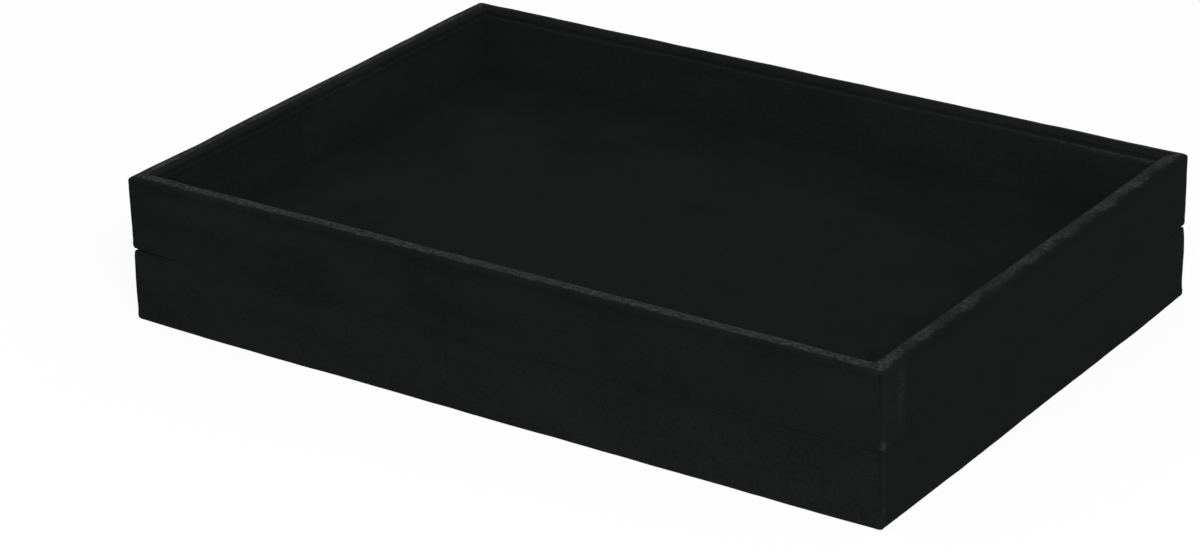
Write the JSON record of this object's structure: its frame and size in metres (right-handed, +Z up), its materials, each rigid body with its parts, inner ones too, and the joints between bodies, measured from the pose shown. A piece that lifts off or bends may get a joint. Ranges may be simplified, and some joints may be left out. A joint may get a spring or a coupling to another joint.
{
  "type": "jewelry display tray",
  "caption": "Shallow rectangular velvet-covered jewelry display tray, open on top, standing on an identical tray that it lifts off.",
  "frame": {"origin": "on the table under the middle of the stack", "axes": "+X along the long side to the right, +Y to the back, +Z up"},
  "size_m": [0.351, 0.2414, 0.062],
  "materials": {
    "black_velvet": "black short-pile velvet",
    "frame_board": "raw medium-density fibreboard",
    "panel_board": "raw thin fibreboard",
    "greyboard": "plain greyboard",
    "base_paper": "black paper",
    "fixing_steel": "bright steel wire"
  },
  "bodies": {
    "lower_tray": {"lower_back_board": "frame_board", "lower_back_liner_card": "greyboard", "lower_back_liner_velvet": "black_velvet", "lower_base_panel": "panel_board", "lower_base_paper": "base_paper", "lower_base_pins": "fixing_steel", "lower_corner_brads": "fixing_steel", "lower_floor_card": "greyboard", "lower_floor_velvet": "black_velvet", "lower_frame_wrap": "black_velvet", "lower_front_board": "frame_board", "lower_front_liner_card": "greyboard", "lower_front_liner_velvet": "black_velvet", "lower_left_board": "frame_board", "lower_left_liner_card": "greyboard", "lower_left_liner_velvet": "black_velvet", "lower_right_board": "frame_board", "lower_right_liner_card": "greyboard", "lower_right_liner_velvet": "black_velvet"},
    "upper_tray": {"upper_back_board": "frame_board", "upper_back_liner_card": "greyboard", "upper_back_liner_velvet": "black_velvet", "upper_base_panel": "panel_board", "upper_base_paper": "base_paper", "upper_base_pins": "fixing_steel", "upper_corner_brads": "fixing_steel", "upper_floor_card": "greyboard", "upper_floor_velvet": "black_velvet", "upper_frame_wrap": "black_velvet", "upper_front_board": "frame_board", "upper_front_liner_card": "greyboard", "upper_front_liner_velvet": "black_velvet", "upper_left_board": "frame_board", "upper_left_liner_card": "greyboard", "upper_left_liner_velvet": "black_velvet", "upper_right_board": "frame_board", "upper_right_liner_card": "greyboard", "upper_right_liner_velvet": "black_velvet"}
  },
  "joints": [
    {"name": "upper_tray_lift", "type": "slide", "parent": "lower_tray", "child": "upper_tray", "axis": [0, 0, 1], "range_m": [0, 0.1]}
  ]
}
